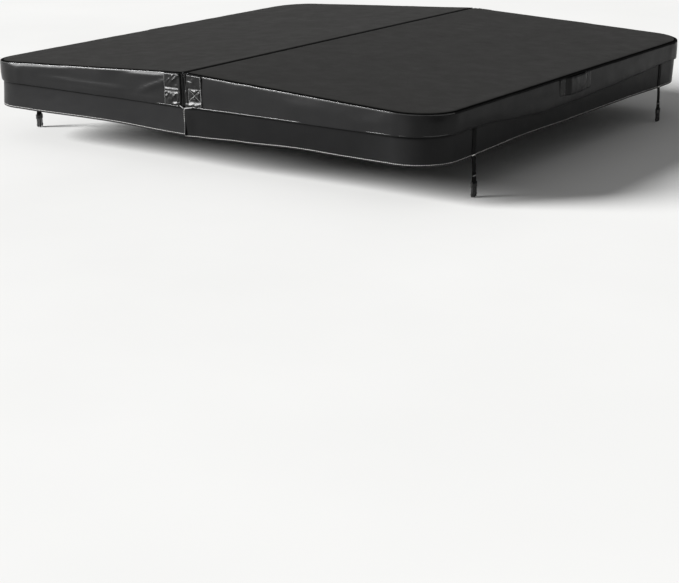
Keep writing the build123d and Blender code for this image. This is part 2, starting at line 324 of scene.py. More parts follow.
def vinyl(name, dark, light, rough, specular, dimples=0.15):
    """Marine vinyl: pebble grain, handling marks in the gloss, and painted shade that darkens the colour where a
    piece is marked as shaded.
    """
    finish = Finish(name)
    shade = finish.add("Attribute", {}, attribute_name="shade").outputs["Fac"]
    colour = finish.ramp(finish.cloud(5.0, 5.0, 0.6), dark, light)
    # Painted shade: the near-black colour that the shade attribute mixes towards, standing in for shadow in seams,
    # folds and under laps.
    painted_shade_colour = (*grey(0.0015), 1)
    pebbles = finish.pattern("Voronoi", 900.0, {"Smoothness": 0.4}, feature="SMOOTH_F1")["Distance"]
    soft = finish.bump(finish.cloud(60.0, 4.0), dimples, 0.5 * MM)
    return finish.made(
        finish.add("Mix", {0: shade, 6: colour, 7: painted_shade_colour}, data_type="RGBA").outputs[2],
        finish.spread(finish.cloud(14.0, 6.0, 0.65), rough - 0.05, rough + 0.07),
        finish.bump(pebbles, 0.35, 0.25 * MM, Normal=soft),
        {"Specular IOR Level": specular, "Coat Weight": 0.05, "Coat Roughness": 0.25})


def woven(name, dark, light):
    """Woven polyester: ribs across the strap, and finer yarns within them."""
    finish = Finish(name)
    ribs = finish.pattern("Wave", 170.0, {"Distortion": 0.6}, bands_direction="Z")["Fac"]
    yarns = finish.pattern("Wave", 260.0, {"Distortion": 1.2}, bands_direction="Y")["Fac"]
    weave = finish.add("Math", {0: ribs, 1: yarns}, operation="MULTIPLY").outputs[0]
    return finish.made(finish.ramp(weave, dark, light, 0.1, 0.9), finish.spread(finish.cloud(600.0), 0.55, 0.8),
                       finish.bump(weave, 0.8, 0.5 * MM), {"Specular IOR Level": 0.12})


def moulded(name, dark, light, rough_low, rough_high, size, depth):
    """Moulded plastic or thread: a fine mottle in colour, gloss and surface."""
    finish = Finish(name)
    mottle = finish.cloud(1.0 / size, 5.0, 0.6)
    return finish.made(finish.ramp(mottle, dark, light), finish.spread(mottle, rough_low, rough_high),
                       finish.bump(finish.cloud(6.0 / size), 0.5, depth))


def foam(name, dark, light, bead):
    """Foam with beads or open cells of the given size."""
    finish = Finish(name)
    cells = finish.pattern("Voronoi", 1.0 / bead)["Distance"]
    rough = finish.spread(finish.cloud(2.0 / bead), 0.75, 0.95)
    return finish.made(finish.ramp(cells, light, dark, 0.2, 0.9), rough, finish.bump(cells, 0.6, bead / 4))


def film(name, dark, light):
    """Clear heat-sealed film with fine creases."""
    finish = Finish(name)
    creases = finish.cloud(25.0, 6.0, 0.7)
    return finish.made(finish.ramp(creases, dark, light), finish.spread(creases, 0.12, 0.3),
                       finish.bump(creases, 0.6, 1.0 * MM), {"Alpha": 0.45})


def metal(name, dark, light, rough_low, rough_high, spangle):
    """Zinc or nickel: crystal spangle in colour and gloss."""
    finish = Finish(name)
    crystals = finish.pattern("Voronoi", 1.0 / spangle)["Color"]
    flake = finish.add("SeparateColor", {"Color": crystals}).outputs
    return finish.made(
        finish.ramp(flake["Red"], dark, light, 0.0, 1.0),
        finish.spread(flake["Green"], rough_low, rough_high, 0.0, 1.0),
        finish.bump(finish.cloud(900.0, 4.0), 0.2, 0.1 * MM), {"Metallic": 1.0})


def grey(level):
    return level, level, level


# Each finish: its kind, its darkest and lightest colour, then what that kind's function asks for.
RECIPES = {
    "vinyl_top": (vinyl, (0.0132, 0.0127, 0.0115), (0.0148, 0.0143, 0.0130), 0.46, 0.22, 0.04),
    "vinyl_side": (vinyl, (0.0110, 0.0110, 0.0112), (0.0138, 0.0138, 0.0140), 0.32, 0.06),
    "vinyl_under": (vinyl, grey(0.014), grey(0.019), 0.5, 0.15),
    "vinyl_skirt": (vinyl, (0.0112, 0.0112, 0.0115), (0.0140, 0.0140, 0.0144), 0.38, 0.045),
    "vinyl_patch": (vinyl, grey(0.0050), grey(0.0075), 0.27, 0.16),
    "vinyl_handle": (vinyl, grey(0.0105), grey(0.0140), 0.34, 0.10),
    "vinyl_hinge": (vinyl, grey(0.008), grey(0.011), 0.42, 0.12),
    # Painted light: the gusset's vinyl is about three times lighter than the rest, so the bellows reads bright inside
    # the shaded fold.
    "vinyl_gusset": (vinyl, grey(0.030), grey(0.045), 0.22, 0.5),
    # Painted shade: a darker, glossless copy of the side vinyl for the seam on the sides facing away from the light.
    "seam_dull": (vinyl, grey(0.0105), grey(0.0130), 0.6, 0.0),
    # Painted shadow: near-black vinyl with no gloss for the strip of the top panel beside its seam.
    "seam_dark": (vinyl, grey(0.0022), grey(0.0034), 0.6, 0.0),
    "piping_vinyl": (vinyl, grey(0.013), grey(0.018), 0.24, 0.6),
    "eps_foam": (foam, (0.55, 0.57, 0.6), (0.83, 0.84, 0.85), 4 * MM),
    "seal_foam": (foam, (0.03, 0.03, 0.032), (0.07, 0.07, 0.075), 1.2 * MM),
    "vapour_film": (film, (0.62, 0.66, 0.7), (0.8, 0.83, 0.86)),
    "galvanised_steel": (metal, (0.42, 0.43, 0.45), (0.6, 0.61, 0.63), 0.3, 0.5, 9 * MM),
    "zip_metal": (metal, (0.3, 0.3, 0.31), (0.42, 0.42, 0.43), 0.22, 0.35, 1.5 * MM),
    "grommet_plastic": (moulded, grey(0.02), grey(0.03), 0.35, 0.5, 3 * MM, 0.1 * MM),
    "zip_nylon": (moulded, grey(0.012), grey(0.02), 0.3, 0.45, 2 * MM, 0.05 * MM),
    "clip_plastic": (moulded, grey(0.010), grey(0.016), 0.28, 0.4, 3 * MM, 0.08 * MM),
    "thread_light": (moulded, (0.68, 0.67, 0.65), (0.85, 0.84, 0.82), 0.55, 0.75, 1.5 * MM, 0.1 * MM),
    "thread_grey": (moulded, grey(0.2), grey(0.32), 0.5, 0.7, 1.5 * MM, 0.1 * MM),
    "webbing": (woven, grey(0.0025), grey(0.0065)),
}
FINISH = {name: kind(name, *recipe) for name, (kind, *recipe) in RECIPES.items()}


def dressed(obj, slot_name, body, *nodes):
    """Hang a piece on its body and hide the CAD nodes it stands for; slot_name is not used."""
    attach(obj, body)
    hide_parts(*nodes)
    return obj


def half_piece(bm, half, name, slot_name, node, thickness=0.0):
    """A piece drawn for the front half, on its own side and in place of that half's CAD node."""
    across_the_fold(bm, half)
    obj = piece(bm, f"{half}_{name}", slot_name, thickness)
    return dressed(obj, slot_name, f"{half}_half", f"{half}_{node}")


# ---- the plan outline of one half ----
class Rim:
    """Outer edge of the front half in plan, from the left end of the fold round to the right end."""

    def __init__(self, start_x, inset=0.0):
        self.start_x = start_x
        self.inset = inset
        self.radius = CORNER - inset
        self.run = HALF_ACROSS - CORNER - start_x
        self.arc = self.radius * math.pi / 2
        self.middle = 2 * (HALF_ALONG - CORNER)
        self.length = 2 * (self.run + self.arc) + self.middle

    def from_end(self, s):
        return min(s, self.length - s)

    def at(self, s):
        """(point, outward normal) at the distance s along the edge."""
        end_y = HALF_ALONG - self.inset
        if s > self.length / 2:
            point, normal = self.at(self.length - s)
            return Vector((point.x, -point.y, 0)), Vector((normal.x, -normal.y, 0))
        if s < self.run:
            return Vector((self.start_x + s, -end_y, 0)), Vector((0, -1, 0))
        s -= self.run
        if s < self.arc:
            turn = s / self.radius
            normal = Vector((math.sin(turn), -math.cos(turn), 0))
            return Vector((BEND_X, -BEND_Y, 0)) + normal * self.radius, normal
        return Vector((HALF_ACROSS - self.inset, -BEND_Y + s - self.arc, 0)), Vector((1, 0, 0))


def rounded_corner(x, y, inset):
    """Move a point of the half's rectangle so that its outer corners become round."""
    radius = CORNER - inset
    a, b = (x - BEND_X) / radius, (abs(y) - BEND_Y) / radius
    if a <= 0 or b <= 0:
        return x, y
    reach = max(a, b)
    turn = math.pi / 4 * min(a, b) / reach
    if b > a:
        turn = math.pi / 2 - turn
    return (
        BEND_X + radius * reach * math.cos(turn),
        math.copysign(BEND_Y + radius * reach * math.sin(turn), y),
    )


def edge_distance(x, y):
    """Distance of a point from the half's three outer sides, its outer corners round."""
    a, b = x - BEND_X, abs(y) - BEND_Y
    if a > 0 and b > 0:
        return CORNER - math.hypot(a, b)
    return CORNER - max(a, b)


# ---- how the vinyl lies ----
def seam_wander(x, y, seed):
    """Slight rise and fall of the top seam."""
    return 0.9 * MM * wave(x, y, 0, 0.16, seed) + 0.5 * MM * wave(x, y, 0, 0.06, seed + 3)


def curl(distance, radius=END_ROLL):
    """How far an edge rolled to a radius has turned away at a distance from its end."""
    short = max(radius - distance, 0.0)
    return radius - math.sqrt(max(radius ** 2 - short ** 2, 0.0))


def top_ripple(x, y, seed):
    """Slack of the top panel: broad shallow swells, and short pulls at the seams."""
    edge = min(edge_distance(x, y), x - HINGE_FACE)
    swell = 1.4 * MM * wave(x, y, 0, 0.34, seed) + 0.25 * MM * wave(x, y, 0, 0.12, seed + 5)
    pulls = 0.45 * MM * wave(x, y, 0, 0.028, seed + 9) * math.exp(-edge / SEAM_REACH)
    return swell * smooth(0, 0.06, edge) + pulls


# Droop of the band's lower fold below the half, by the share of the way round its edge.
DROOP = {
    "front": [
        (0.0, 1.0), (0.2, 0.5), (0.3, 0.0), (0.33, 2.0), (0.39, 20.0), (0.43, 30.0),
        (0.5, 29.0), (0.57, 21.0), (0.63, 12.0), (0.69, 1.0), (0.8, 3.0), (1.0, 1.0),
    ],
    "rear": [
        (0.0, 3.0), (0.12, 1.0), (0.3, 0.0), (0.37, 7.0), (0.45, 19.0),
        (0.55, 24.0), (0.64, 9.0), (0.7, 1.0), (0.82, 5.0), (1.0, 1.0),
    ],
}
# Fold lines in the band of each half on the left end face: start, end (x, z in mm), width, height.
LEFT_END_CREASES = {
    "front": [
        ((40, 6), (470, 12), 7, 1.6), ((480, 60), (900, 34), 16, 1.2), ((330, 84), (640, 48), 20, 1.1),
        ((120, 70), (300, 96), 22, 1.0), ((700, 20), (960, 50), 14, 1.0),
    ],
    "rear": [
        ((60, 96), (230, 34), 9, 4.6), ((100, 14), (660, 20), 6, 3.4), ((240, 34), (760, 42), 8, 3.0),
        ((86, 108), (300, 92), 10, 2.2), ((560, 80), (960, 60), 18, 1.8),
    ],
}


def corner_share(x, y):
    """1 at the outer corners in plan, 0 well away from them."""
    return smooth(300 * MM, 90 * MM, HALF_ACROSS - x) * smooth(300 * MM, 90 * MM, HALF_ALONG - abs(y))


def folds_at(table, x, z):
    """Height at (x, z) of all the fold lines in a table."""
    return sum(crease(x, z, Vector(start) * MM, Vector(end) * MM, width * MM, rise * MM)
               for start, end, width, rise in table)


def droop_at(half, s, rim):
    return through(DROOP[half], s / rim.length) * MM


def band_slack(half, point, z):
    """How far the band's face stands out from the foam."""
    x, y, seed = point.x, point.y, SEED[half]
    low = 2.2 * MM * wave(x, y, z * 0.8, 0.24, seed) + 1.1 * MM * wave(x, y, z * 1.8, 0.085, seed + 4)
    height = top_height(x)
    low *= 0.15 + 0.85 * smooth(8 * MM, 34 * MM, height - z)
    flutes = 4.0 * MM * wave(x, y, z * 0.12, 0.055, seed + 11)
    low += flutes * smooth(6 * MM, 30 * MM, height - z) * corner_share(x, y)
    pucker = 0.5 * MM * wave(x, y, z * 0.25, 0.022, seed + 8)
    pucker *= math.exp(-(height - z) / 0.02) + 0.6 * math.exp(-max(z, 0.0) / 0.015)
    folds = folds_at(LEFT_END_CREASES[half], x, z) if y < LEFT_END else 0.0
    return low + pucker + folds


def band_face(half, s, share, z, rim):
    """How far the band's face stands out from the cover's side, share of the way down it."""
    belly = 1.4 * MM * math.sin(math.pi * share) + 2.5 * MM * smooth(0.45, 1.0, share) * droop_at(half, s, rim) / 0.03
    return 0.6 * MM + belly + band_slack(half, rim.at(s)[0], z)


def make_top_panel(half):
    """Top panel: dips into its seam on three sides and rolls down into the fold."""
    seed = SEED[half]
    end = HALF_ALONG - SEAM_INSET
    step, fine, reach = 11 * MM, 1.1 * MM, 40 * MM

    def from_seam(x, y):
        return edge_distance(x, y) - SEAM_INSET

    def place(column, row):
        x, y = rounded_corner(column, row, SEAM_INSET)
        y -= math.copysign(curl(x - HINGE_FACE) * smooth(end - 60 * MM, end, abs(y)), y)
        z = top_height(x) + top_ripple(x, y, seed)
        edge = max(from_seam(x, y) - curl(x - HINGE_FACE), 0.0)
        z += seam_wander(x, y, seed) * math.exp(-edge / SEAM_REACH)
        z -= SEAM_DEPTH * math.exp(-((edge / SEAM_SLOPE) ** 1.6))
        return Vector((x, y, z - curl(x - HINGE_FACE, FOLD_ROLL)))

    columns = graded(HINGE_FACE, HALF_ACROSS - SEAM_INSET, step, fine, reach)
    bm = grid(columns, graded(-end, end, step, fine, reach), place)
    panel = half_piece(bm, half, "top_panel", "vinyl_top", "top_skin", VINYL)

    # Painted shade: the panel's colour darkens in its seam and where it rolls into the fold.
    def seam_and_fold_painted_shade(x, y, z):
        edge = from_seam(x, y) - curl(x - HINGE_FACE)
        return 0.9 * (1 - smooth(7 * MM, 16 * MM, edge)) + 0.8 * (1 - smooth(0, SEAM_WIDTH, x - HINGE_FACE))

    shaded(panel, half, seam_and_fold_painted_shade)
    # Painted shadow: the faces next to the seam get the near-black, glossless vinyl.
    second_finish(panel, half, "seam_dark", lambda x, y, z: from_seam(x, y) < SEAM_WIDTH)


# The band's section, out and up in mm: over the top edge from the seam, and round the lower fold from its face.
BAND_TOP_ROLL = [
    (-5.6, -6.0), (-5.2, -5.2), (-4.4, -4.5), (-3.2, -4.1), (-2.0, -4.2), (-0.9, -4.9), (-0.1, -6.2), (0.4, -8.2),
]
BAND_LOWER_FOLD = [(-0.4, 3.6), (-1.5, 1.0), (-3.4, -0.4), (-5.4, 0.4), (-6.8, 2.8)]
BAND_ROWS = 12
# Positions round the band near the fold, mm.
NEAR_FOLD = [0.0, 0.3, 0.9, 1.9, 3.2, 4.8, 6.6, 8.6, 10.8, 13.0, 16.0]


def make_band(half):
    """Side band: rolls over the top edge, hangs slack down the side and tucks up under the half."""
    rim = Rim(HINGE_FACE)

    def section(s):
        """(out, z) points of the band's section from the top seam to its edge under the half."""
        point = rim.at(s)[0]
        top = top_height(point.x) + seam_wander(point.x, point.y, SEED[half])
        low = -droop_at(half, s, rim)
        line = [(out * MM, top + z * MM) for out, z in BAND_TOP_ROLL]
        start_z, end_z = top - 11 * MM, low + FACE_END
        for i in range(BAND_ROWS):
            share = i / (BAND_ROWS - 1)
            z = start_z + (end_z - start_z) * share
            line.append((band_face(half, s, share, z, rim), z))
        face = line[-1][0]
        line += [(face + out * MM, low + z * MM) for out, z in BAND_LOWER_FOLD]
        return line + [
            (-SKIRT_INSET + 0.7 * MM, min(low + 9 * MM, -0.5 * MM)), (-SKIRT_INSET + 0.4 * MM, 0.2 * MM),
            (-SKIRT_INSET - 1.5 * MM, 0.5 * MM), (-TURN_IN, 0.5 * MM),
        ]

    near_fold = [s * MM for s in NEAR_FOLD]
    stations = joined(near_fold, steps(near_fold[-1], rim.length - near_fold[-1], 6 * MM),
                      mirrored(near_fold, rim.length))
    sections = {s: section(s) for s in stations}

    def place(s, row):
        point, normal = rim.at(s)
        out, z = sections[s][row]
        return point + normal * (out - curl(rim.from_end(s))) + Vector((0, 0, z))

    bm = grid(stations, range(len(sections[stations[0]])), place)
    face_away(bm, MIDDLE)
    band = half_piece(bm, half, "side_band_vinyl", "vinyl_side", "side_band", VINYL)

    # Painted shadow: a dark line in the band's colour just beyond the patch's outer edge.
    def patch_edge_painted_shadow(x, y, z):
        if y > -HALF_ALONG + 20 * MM or x > 130 * MM:
            return 0.0
        return 0.75 * (1 - smooth(0, 5 * MM, abs(x - patch_high.x - 2 * MM)))

    shaded(band, half, patch_edge_painted_shadow)
    # Painted shade: the band's top edge on the sides away from the light gets the darker glossless copy.
    second_finish(band, half, "seam_dull", lambda x, y, z: z > top_height(x) - SEAM_WIDTH and y > SHADED_SIDES_FROM)
    make_piping(half, rim)


# Where the band's lower fold is pinched into a ridge: start and end round the edge (mm), ridge radius (mm).
LOWER_RIDGES = {
    "front": [(10, 300, 1.7), (270, 530, 1.6), (800, 905, 1.2), (925, 960, 1.2), (1010, 1110, 1.4)],
    "rear": [(14, 130, 0.9)],
}


def make_piping(half, rim):
    """Rolled ridge along the top seam, and the pinched ridges of the band's lower fold."""
    seed = SEED[half]
    bm = bmesh.new()

    def ridge(start, end, radius, centre):
        """Add a ridge from start to end round the edge, thinning to nothing at both."""
        def place(turn, s):
            point, normal = rim.at(s)
            out, z = centre(s)
            thinning = math.sqrt(smooth(0, 14 * radius, min(s - start, end - s)))
            size = radius * thinning * (1 + 0.2 * wave(s, z, 0, 0.07, seed + 13))
            out += size * math.cos(turn) - curl(rim.from_end(s))
            return point + normal * out + Vector((0, 0, z + size * math.sin(turn)))

        near = [e * MM for e in (0, 0.5, 1.5, 3, 6, 10)]
        line = joined([start + e for e in near], steps(start + near[-1], end - near[-1], 7 * MM), mirrored(near, end))
        grid(steps(0, 2 * math.pi, math.pi / 4), line, place, bm)

    def top_seam(s):
        point = rim.at(s)[0]
        return -1.9 * MM, top_height(point.x) + seam_wander(point.x, point.y, seed) - SEAM_DEPTH

    def lower_fold(s):
        low = -droop_at(half, s, rim)
        z = low + 4.5 * MM + 0.8 * MM * wave(s, 0, 0, 0.05, seed + 14)
        return band_face(half, s, 1.0, low + FACE_END, rim) - 0.5 * MM, z

    ridge(3 * MM, rim.length - 3 * MM, 2.1 * MM, top_seam)
    for start, end, radius in LOWER_RIDGES[half]:
        ridge(start * MM, end * MM, radius * MM, lower_fold)
    recalculated(bm)
    across_the_fold(bm, half)
    ridges = piece(bm, f"{half}_seam_ridges", "piping_vinyl")
    # Painted shade: the ridges on the sides away from the light get the darker glossless copy.
    second_finish(ridges, half, "seam_dull", lambda x, y, z: y > SHADED_SIDES_FROM)
    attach(ridges, f"{half}_half")


# ---- underside and fold wall ----
def disc_from_square(dx, dy, radius):
    """Draw the square ring round a hole into a circle, easing out to nothing at twice its size."""
    reach = max(abs(dx), abs(dy))
    if reach < 1e-9 or reach > 2 * radius:
        return dx, dy
    share = 1 - smooth(radius, 2 * radius, reach)
    length = math.hypot(dx, dy)
    scale = 1 + (reach / length - 1) * share
    return dx * scale, dy * scale


def make_underside(half):
    """Underside panel, its two drain holes cut round."""
    hole = (grommets_high.x - grommets_low.x) / 2
    hole_x = (grommets_high.x + grommets_low.x) / 2
    hole_y = grommets_high.y - hole
    end = HALF_ALONG - TURN_IN

    def place(column, row):
        dx, dy = disc_from_square(column - hole_x, abs(row) - hole_y, hole)
        x, y = rounded_corner(hole_x + dx, math.copysign(hole_y + dy, row), TURN_IN)
        z = -0.25 * MM + 0.25 * MM * wave(x, y, 0, 0.2, SEED[half])
        return Vector((x, y, z + curl(x - HINGE_FACE, UNDER_ROLL)))

    near, wide = 3 * MM, 24 * MM
    roll_end = HINGE_FACE + 6 * MM
    hole_columns = steps(hole_x - 2 * hole, hole_x + 2 * hole, near)
    columns = joined(
        steps(HINGE_FACE, roll_end, 0.75 * MM), steps(roll_end, hole_columns[0], wide),
        hole_columns, steps(hole_columns[-1], HALF_ACROSS - TURN_IN, wide / 2))
    right_rows = joined(
        steps(0, hole_y - 2 * hole, wide), steps(hole_y - 2 * hole, hole_y + 2 * hole, near),
        steps(hole_y + 2 * hole, end, wide / 2))
    bm = grid(columns, joined(mirrored(right_rows), right_rows), place)
    inside = []
    for face in bm.faces:
        centre = face.calc_center_median()
        if math.hypot(centre.x - hole_x, abs(centre.y) - hole_y) < hole:
            inside.append(face)
    bmesh.ops.delete(bm, geom=inside, context="FACES")
    face_away(bm, Vector((HALF_ACROSS / 2, 0, 1)))
    panel = half_piece(bm, half, "underside_panel", "vinyl_under", "underside_skin", VINYL)
    make_eyelets(half, hole_x, hole_y, hole)


def make_eyelets(half, hole_x, hole_y, radius):
    """Two turned eyelets, their flanges lapping the underside panel."""
    bore = 5 * MM
    outline = [
        (bore, 1.0), (bore, -0.8), (bore + 0.6 * MM, -1.5), (radius - 2.5 * MM, -1.7), (radius + 0.3 * MM, -1.4),
        (radius + 1.2 * MM, -0.7), (radius + 1.2 * MM, -0.3), (radius - 0.6 * MM, -0.1), (radius - 0.6 * MM, 1.0),
    ]
    bm = bmesh.new()
    verts = [bm.verts.new((r, 0, z * MM)) for r, z in outline]
    edges = [bm.edges.new(pair) for pair in zip(verts, verts[1:] + verts[:1])]
    bmesh.ops.spin(bm, geom=verts + edges, cent=(0, 0, 0), axis=(0, 0, 1), angle=2 * math.pi,
                   steps=40, use_merge=True)
    recalculated(bm)
    bmesh.ops.translate(bm, vec=(hole_x, -hole_y, 0), verts=bm.verts)
    copy = bmesh.ops.duplicate(bm, geom=bm.verts[:] + bm.edges[:] + bm.faces[:])
    moved = [g for g in copy["geom"] if isinstance(g, bmesh.types.BMVert)]
    bmesh.ops.translate(bm, vec=(0, 2 * hole_y, 0), verts=moved)
    half_piece(bm, half, "drain_eyelets", "grommet_plastic", "drain_grommets")


def make_fold_wall(half):
    """Wall of the cover on the fold side, between the rolled edges of the top and underside panels."""
    top = top_height(HINGE_FACE) - FOLD_ROLL + 0.5 * MM
    bottom = UNDER_ROLL - 0.5 * MM

    def place(y, z):
        inward = min(z - bottom, top - z, 12 * MM) / (12 * MM)
        slack = 0.4 * MM * wave(y, z, 0, 0.09, SEED[half] + 2) * inward
        return Vector((HINGE_FACE + 0.1 * MM + 0.2 * MM * inward + abs(slack), y, z))

    bm = grid(steps(-HALF_ALONG + VINYL, HALF_ALONG - VINYL, 14 * MM), steps(bottom, top, 6 * MM), place)
    face_away(bm, MIDDLE)
    wall = half_piece(bm, half, "fold_wall", "vinyl_hinge", "hinge_wall", VINYL)


def make_zip(half):
    """Closed coil zip: woven tape with two rows of meshed turns."""
    side = SIDES[half]
    middle = (zip_low.z + zip_high.z) / 2
    length = zip_high.y - zip_low.y
    bm = bmesh.new()
    bmesh.ops.create_cube(bm, size=1)
    bmesh.ops.scale(bm, vec=(0.5 * MM, length + 16 * MM, zip_high.z - zip_low.z + 12 * MM), verts=bm.verts)
    bmesh.ops.translate(bm, vec=(side * (HINGE_FACE - 0.05 * MM), 0, middle), verts=bm.verts)
    round_edges(bm, bm.edges[:], 0.15 * MM)
    for i in range(int(length / ZIP_PITCH)):
        for row in (-1, 1):
            y = zip_low.y + (i + 0.5 + row / 4) * ZIP_PITCH
            where = Matrix.Translation((side * (HINGE_FACE - 0.45 * MM), y, middle + row * 1.5 * MM))
            add_bead(bm, where, (0.55 * MM, 1.05 * MM, 2.3 * MM))
    closure = piece(bm, f"{half}_zip", "zip_nylon")
    dressed(closure, "zip_nylon", f"{half}_half", f"{half}_zip_coil")


# ---- skirt ----
# Height of the hem, mm below the half, by the share of the way round.
HEM = {
    "front": [
        (0.0, 115), (0.02, 112), (0.064, 106), (0.13, 98), (0.19, 101), (0.3, 104), (0.4, 96),
        (0.5, 99), (0.6, 99), (0.7, 104), (0.85, 100), (1.0, 105),
    ],
    "rear": [
        (0.0, 107), (0.1, 98), (0.2, 101), (0.3, 103), (0.42, 98), (0.55, 101), (0.7, 104), (0.88, 98), (1.0, 104),
    ],
}
SKIRT_LAP = 12 * MM  # front skirt's ends lap this far over the rear skirt's


# Rows of the skirt, as shares of its drop, then of its turned hem: mm inwards and up from the edge.
SKIRT_ROWS = [0.0, 0.04, 0.1, 0.18, 0.27, 0.36, 0.45, 0.54, 0.63, 0.71, 0.78, 0.84, 0.885, 0.92, 0.95, 0.975, 0.99]
HEM_ROWS = [(0.1, 0.6), (0.7, -0.4), (1.7, -0.6), (2.6, 0.2), (2.9, 1.5), (2.9, 5.0), (2.8, 9.0), (2.9, 14.0)]
FLARE = {"rear": 7.0 * MM, "front": -4.0 * MM}  # how far each hem stands out from the sewn line


class Skirt:
    """Where the skirt of one half hangs."""

    def __init__(self, half):
        self.half, self.seed = half, SEED[half]
        self.rim = Rim(-SKIRT_LAP if half == "front" else SKIRT_SPLIT, SKIRT_INSET)

    def hem(self, s):
        return -through(HEM[self.half], s / self.rim.length) * MM

    def out(self, s, z):
        """How far the skirt stands out from its sewn line."""
        share = min(max(z / self.hem(s), 0.0), 1.2)
        x, y = self.rim.at(s)[0].xy
        flare = FLARE[self.half] + 2.6 * MM * wave(x, y, 0, 0.31, self.seed)
        flare += 1.3 * MM * wave(x, y, z * 0.5, 0.11, self.seed + 6)
        dent = 0.5 * MM * wave(x, y, z * 2, 0.05, self.seed + 8)
        pucker = 0.35 * MM * wave(x, y, 0, 0.02, self.seed + 9) * math.exp(-(z - self.hem(s)) / 0.012)
        lap = 0.0
        if self.half == "front":
            lap = 3.0 * MM * (1 - smooth(8 * MM, 60 * MM, self.rim.from_end(s))) * smooth(0.0, 0.25, share)
        return flare * share ** 1.5 + (dent + pucker) * min(share * 3, 1.0) + lap

    def surface(self, s, z, proud=0.0):
        point, normal = self.rim.at(s)
        return point + normal * (self.out(s, z) + proud) + Vector((0, 0, z))


def make_skirt(half, skirt):
    """Skirt with a turned hem along its lower edge and at its two ends."""
    length = skirt.rim.length
    end, above = 24 * MM, 0.35 * MM

    def place(s, row):
        hem = skirt.hem(s)
        if row < len(SKIRT_ROWS):
            return skirt.surface(s, hem * SKIRT_ROWS[row] - 0.1 * MM)
        inward, rise = HEM_ROWS[row - len(SKIRT_ROWS)]
        return skirt.surface(s, hem + max(rise, 0.0) * MM, -inward * MM) + Vector((0, 0, min(rise, 0.0) * MM))

    stations = joined(steps(0, end, 3 * MM), steps(end, length - end, 8 * MM), steps(length - end, length, 3 * MM))
    bm = grid(stations, range(len(SKIRT_ROWS) + len(HEM_ROWS)), place)
    face_away(bm, Vector((HALF_ACROSS / 2, 0, -SKIRT_DROP / 2)))
    hanging = half_piece(bm, half, "skirt_vinyl", "vinyl_skirt", "skirt", HEAVY_VINYL)

    # Painted shade: the front half's skirt is darkened by half away from its outer side, easing off over the last 330
    # mm; every skirt darkens just below the band's fold as painted shadow.
    def skirt_painted_shade(x, y, z):
        fade = 0.5 * (1 - smooth(HALF_ACROSS - 330 * MM, HALF_ACROSS - 60 * MM, x)) if half == "front" else 0.0
        return fade + (0.9 - fade) * (1 - smooth(2 * MM, 12 * MM, -z))

    shaded(hanging, half, skirt_painted_shade)
    hem_line = along_line(lambda s: skirt.surface(s, skirt.hem(s) + HEM_THREAD, above), 2 * MM, length - 2 * MM)
    thread = stitch_lines(half, "skirt_thread", "thread_light", [hem_line])
    ends = [along_line(lambda t: skirt.surface(s, skirt.hem(s) * t, above), 0.08, 0.95)
            for s in (5 * MM, length - 5 * MM)]
    end_thread = stitch_lines(half, "skirt_end_thread", "thread_light" if half == "front" else "thread_grey", ends)


# ---- thread ----
def along_line(curve, start, end, samples=400):
    """Points of a curve given by a function."""
    return [curve(start + (end - start) * i / samples) for i in range(samples + 1)]


def stitch_lines(half, name, slot_name, lines, length=STITCH, gap=STITCH_GAP, thread=THREAD):
    """Rows of stitches, each a short plump length of thread, along lines of points."""
    bm = bmesh.new()
    for line in lines:
        travelled, next_start = 0.0, gap / 2
        for start, end in zip(line, line[1:]):
            run = (end - start).length
            while run > 0 and next_start + length / 2 <= travelled + run:
                middle = start.lerp(end, (next_start + length / 2 - travelled) / run)
                turn = (end - start).to_track_quat("X", "Z").to_matrix().to_4x4()
                add_bead(bm, Matrix.Translation(middle) @ turn, (length * 0.54, thread, thread))
                next_start += length + gap
            travelled += run
    return riding(bm, half, name, slot_name, f"{half}_half")


def riding(bm, half, name, slot_name, body):
    """A small piece with no CAD node of its own, drawn for the front half."""
    across_the_fold(bm, half)
    obj = piece(bm, f"{half}_{name}", slot_name)
    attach(obj, body)
    return obj


# ---- patches at the ends of the fold ----
def near_segment(x, z, start, end):
    """Distance of (x, z) from a line segment."""
    dx, dz = end[0] - start[0], end[1] - start[1]
    share = ((x - start[0]) * dx + (z - start[1]) * dz) / (dx * dx + dz * dz)
    share = min(max(share, 0.0), 1.0)
    return math.hypot(x - start[0] - dx * share, z - start[1] - dz * share)


# Stitching of each patch, its edge beside the fold by height, and its loose folds (start, end, width, height), mm.
BOX = [(28, 24), (84, 24), (84, 70), (28, 70)]
SEWN = {
    "front": list(zip(BOX, BOX[1:] + BOX[:1])) + [(BOX[0], BOX[2]), (BOX[1], BOX[3])],
    "rear": [((24, 67), (87, 67)), ((24, 54), (87, 54))],
}
INNER_EDGE = {
    "front": [(3, 10), (60, 9), (95, 17), (124, 22)],
    "rear": [(3, 13), (40, 9), (90, 10), (124, 12)],
}
PATCH_FOLDS = {
    "front": [((34, 30), (58, 44), 3.0, 2.6), ((62, 66), (82, 50), 3.0, 2.4), ((20, 96), (70, 88), 4.0, 1.6)],
    "rear": [((62, 84), (8, 122), 4.0, 4.0), ((80, 84), (40, 116), 3.0, 2.0), ((34, 46), (58, 20), 3.5, 3.2),
             ((66, 48), (84, 26), 3.5, 2.8), ((20, 40), (26, 14), 3.0, 2.2)],
}


def inner_edge(half, z):
    return through(INNER_EDGE[half], z / MM) * MM


def from_stitching(half, x, z):
    return min(near_segment(x, z, Vector(start) * MM, Vector(end) * MM) for start, end in SEWN[half])


